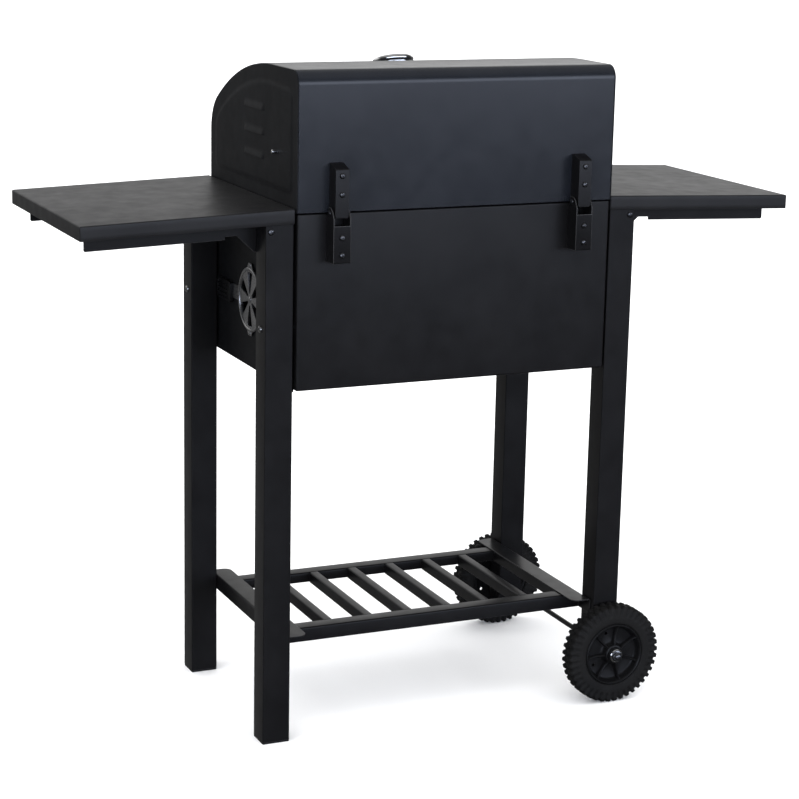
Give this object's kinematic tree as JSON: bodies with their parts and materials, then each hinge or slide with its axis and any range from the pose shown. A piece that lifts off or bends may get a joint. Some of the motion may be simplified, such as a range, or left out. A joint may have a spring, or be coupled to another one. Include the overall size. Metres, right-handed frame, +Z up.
{
  "type": "barrel charcoal grill",
  "caption": "Charcoal grill with a hinged barrel lid over a box firebox, square legs, two side tables, a slatted lower shelf and a pair of wheels.",
  "frame": {"origin": "on the floor under the middle of the firebox, at the centre of the footprint's bounding box", "axes": "+X to the cook's right along the firebox, away from the wheels; +Y from the cook's side to the hinge side; +Z up"},
  "size_m": [1.15, 0.466, 1.0134],
  "materials": {
    "black_coat": "satin black powder coat",
    "lid_coat": "satin blue-black powder coat",
    "chrome": "bright plated steel",
    "zinc_steel": "zinc-plated steel",
    "enamel": "matt enamelled steel",
    "plastic": "moulded black plastic",
    "tyre": "moulded black tread"
  },
  "bodies": {
    "grill": {"axle": "zinc_steel", "axle_nut_front": "chrome", "axle_nut_rear": "chrome", "charcoal_grate": "enamel", "cooking_grate_left": "enamel", "cooking_grate_right": "enamel", "damper_plate_left": "chrome", "damper_plate_right": "chrome", "firebox_back": "black_coat", "firebox_bolt_front_left": "zinc_steel", "firebox_bolt_front_right": "zinc_steel", "firebox_bolt_rear_left": "zinc_steel", "firebox_bolt_rear_right": "zinc_steel", "firebox_end_left": "black_coat", "firebox_end_right": "black_coat", "firebox_floor": "black_coat", "firebox_front": "black_coat", "grate_ledge_front": "black_coat", "grate_ledge_rear": "black_coat", "hinge_bolts_box_left": "zinc_steel", "hinge_bolts_box_right": "zinc_steel", "hinge_box_leaf_left": "black_coat", "hinge_box_leaf_right": "black_coat", "hinge_pin_left": "zinc_steel", "hinge_pin_right": "zinc_steel", "leg_front_left": "black_coat", "leg_front_right": "black_coat", "leg_rear_left": "black_coat", "leg_rear_right": "black_coat", "shelf_bracket_left": "black_coat", "shelf_bracket_right": "black_coat", "shelf_frame": "black_coat", "side_table_left": "black_coat", "side_table_right": "black_coat", "table_rail_front_left": "black_coat", "table_rail_front_right": "black_coat", "table_rail_rear_left": "black_coat", "table_rail_rear_right": "black_coat"},
    "lid": {"lid_shell": "lid_coat", "lid_end_left": "lid_coat", "lid_end_right": "lid_coat", "lid_handle": "chrome", "thermometer": "chrome", "hinge_lid_leaf_left": "black_coat", "hinge_lid_leaf_right": "black_coat", "hinge_bolts_lid_left": "zinc_steel", "hinge_bolts_lid_right": "zinc_steel", "rack_pin_left": "chrome", "rack_pin_right": "chrome"},
    "warming_rack": {"warming_rack": "chrome"},
    "rack_arm": {"rack_arm": "chrome"},
    "ash_drawer": {"ash_drawer": "black_coat"},
    "damper_left": {"damper_disc_left": "chrome", "damper_grip_left": "plastic"},
    "damper_right": {"damper_disc_right": "chrome", "damper_grip_right": "plastic"},
    "wheel_front": {"tyre_front": "tyre", "wheel_hub_front": "plastic"},
    "wheel_rear": {"tyre_rear": "tyre", "wheel_hub_rear": "plastic"}
  },
  "joints": [
    {"name": "lid_hinge", "type": "hinge", "parent": "grill", "child": "lid", "pos_m": [0, 0.201, 0.807], "axis": [-1, 0, 0], "range_deg": [0, 92]},
    {"name": "rack_arm_swing", "type": "hinge", "parent": "grill", "child": "rack_arm", "pos_m": [0, 0.15, 0.78], "axis": [-1, 0, 0], "range_deg": [0, 92]},
    {"name": "warming_rack_swing", "type": "hinge", "parent": "lid", "child": "warming_rack", "pos_m": [0, 0.105, 0.885], "axis": [-1, 0, 0], "range_deg": [-92, 0]},
    {"name": "ash_drawer_slide", "type": "slide", "parent": "grill", "child": "ash_drawer", "axis": [0, -1, 0], "range_m": [0, 0.24]},
    {"name": "damper_left_turn", "type": "hinge", "parent": "grill", "child": "damper_left", "pos_m": [-0.2553, 0, 0.6465], "axis": [1, 0, 0], "range_deg": [0, 30]},
    {"name": "damper_right_turn", "type": "hinge", "parent": "grill", "child": "damper_right", "pos_m": [0.2553, 0, 0.6465], "axis": [1, 0, 0], "range_deg": [0, 30]},
    {"name": "wheel_front_spin", "type": "hinge", "parent": "grill", "child": "wheel_front", "pos_m": [-0.282, -0.2045, 0.08], "axis": [0, 1, 0], "continuous": true},
    {"name": "wheel_rear_spin", "type": "hinge", "parent": "grill", "child": "wheel_rear", "pos_m": [-0.282, 0.2045, 0.08], "axis": [0, 1, 0], "continuous": true}
  ],
  "couplings": [
    {"joint": "rack_arm_swing", "follows": "lid_hinge", "ratio": 1},
    {"joint": "warming_rack_swing", "follows": "lid_hinge", "ratio": -1}
  ]
}
